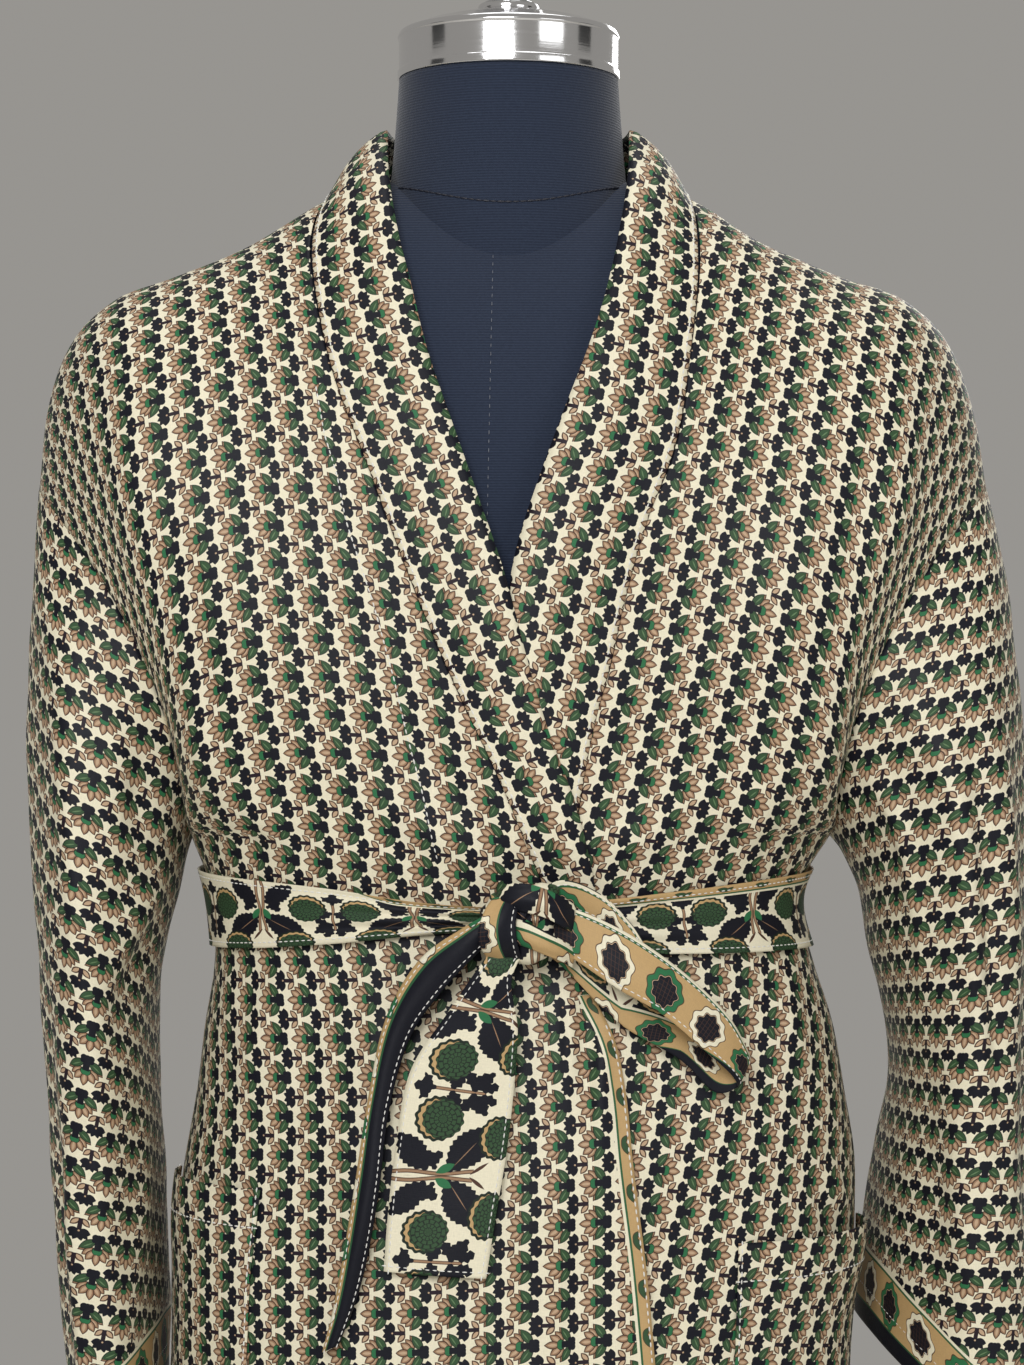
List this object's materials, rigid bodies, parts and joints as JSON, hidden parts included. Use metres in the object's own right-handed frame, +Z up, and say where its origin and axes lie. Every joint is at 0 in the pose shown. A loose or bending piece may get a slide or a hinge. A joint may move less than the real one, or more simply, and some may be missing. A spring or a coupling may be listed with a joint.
{
  "type": "kimono robe on a dress form",
  "caption": "Printed kimono robe with a shawl collar, patch pockets and a belt tied at the waist, on a limbless dress form with a round stand.",
  "frame": {"origin": "middle of the stand's underside, on the floor", "axes": "+Z up, the front of the robe faces -Y, +X is the wearer's left"},
  "size_m": [0.5774, 0.43, 1.5996],
  "materials": {
    "robe_print": "soft satin, cream ground with a small repeat in navy, green and tan",
    "belt_print": "soft satin, cream ground with larger flowers and a tan border",
    "form_jersey": "matt ribbed jersey",
    "cap_steel": "polished",
    "pole_steel": "satin",
    "base_iron": "black, smooth"
  },
  "bodies": {
    "root": {"back": "robe_print", "front_right": "robe_print", "front_left": "robe_print", "collar": "robe_print", "sleeve_right": "robe_print", "sleeve_left": "robe_print", "pocket_right": "robe_print", "pocket_left": "robe_print", "belt_waist": "belt_print", "belt_knot": "belt_print", "belt_loop": "belt_print", "belt_loop_back": "belt_print", "belt_tail_wide": "belt_print", "belt_tail_narrow": "belt_print", "form_body": "form_jersey", "neck_cap": "cap_steel", "cap_knob": "cap_steel", "stand_pole": "pole_steel", "stand_base": "base_iron"}
  },
  "joints": []
}
